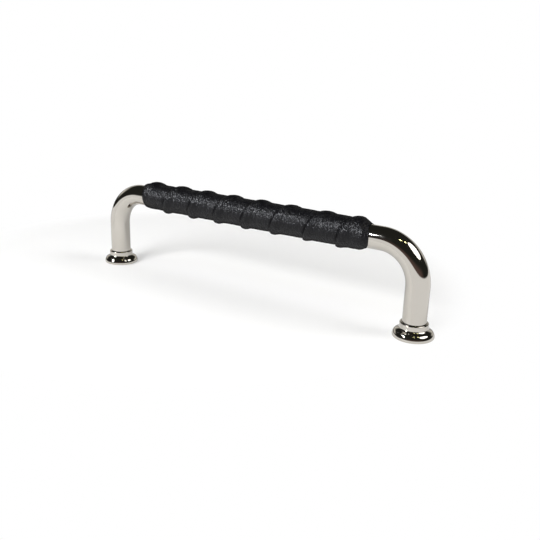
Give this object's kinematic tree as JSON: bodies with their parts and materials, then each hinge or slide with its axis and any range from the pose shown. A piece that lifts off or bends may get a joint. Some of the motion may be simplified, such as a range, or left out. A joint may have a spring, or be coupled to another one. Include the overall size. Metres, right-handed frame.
{
  "type": "bow handle",
  "caption": "Bow-shaped cabinet handle: a bent polished round bar on two flared feet, with a leather strip wound round its straight grip.",
  "frame": {"origin": "on the mounting surface, midway between the two fixing holes", "axes": "+X along the handle from the left foot to the right foot, +Y towards the back, +Z away from the mounting surface"},
  "size_m": [0.1412, 0.0132, 0.0348],
  "materials": {
    "polished_nickel": "mirror polished nickel plate, slightly warm",
    "black_leather": "charcoal black pebbled leather, satin"
  },
  "bodies": {
    "root": {"bow_rod": "polished_nickel", "left_foot_collar": "polished_nickel", "right_foot_collar": "polished_nickel", "leather_wrap": "black_leather"}
  },
  "joints": []
}
